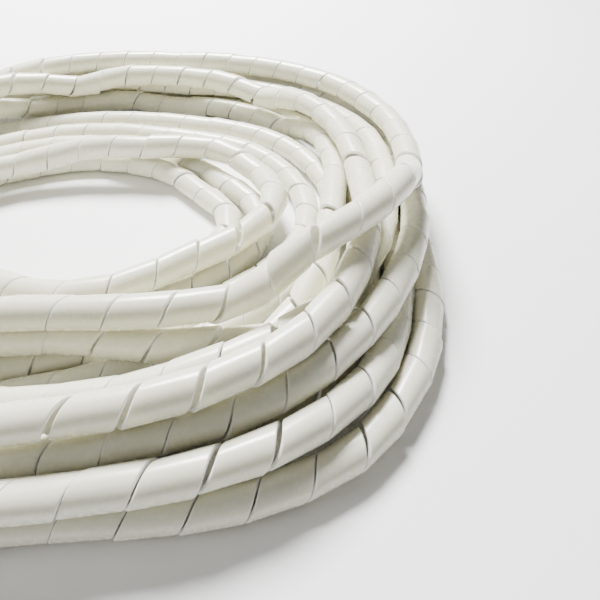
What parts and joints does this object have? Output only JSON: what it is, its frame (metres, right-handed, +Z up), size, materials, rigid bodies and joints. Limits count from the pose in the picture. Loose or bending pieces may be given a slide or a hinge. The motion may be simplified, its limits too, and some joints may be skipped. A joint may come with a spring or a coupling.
{
  "type": "spiral cable wrap",
  "caption": "Loose coil of natural white spiral cable wrap, a slit plastic tube that winds round a bundle of wires.",
  "frame": {"origin": "under the middle of the coil's bounding box, on the floor it lies on", "axes": "+Z up through the open middle of the coil, +X to the right and +Y away, as the picture sees it"},
  "size_m": [0.3704, 0.3322, 0.0489],
  "materials": {
    "wrap": "natural polyethylene, slightly translucent, smooth with a soft gloss"
  },
  "bodies": {
    "root": {"spiral_wrap": "wrap"}
  },
  "joints": []
}
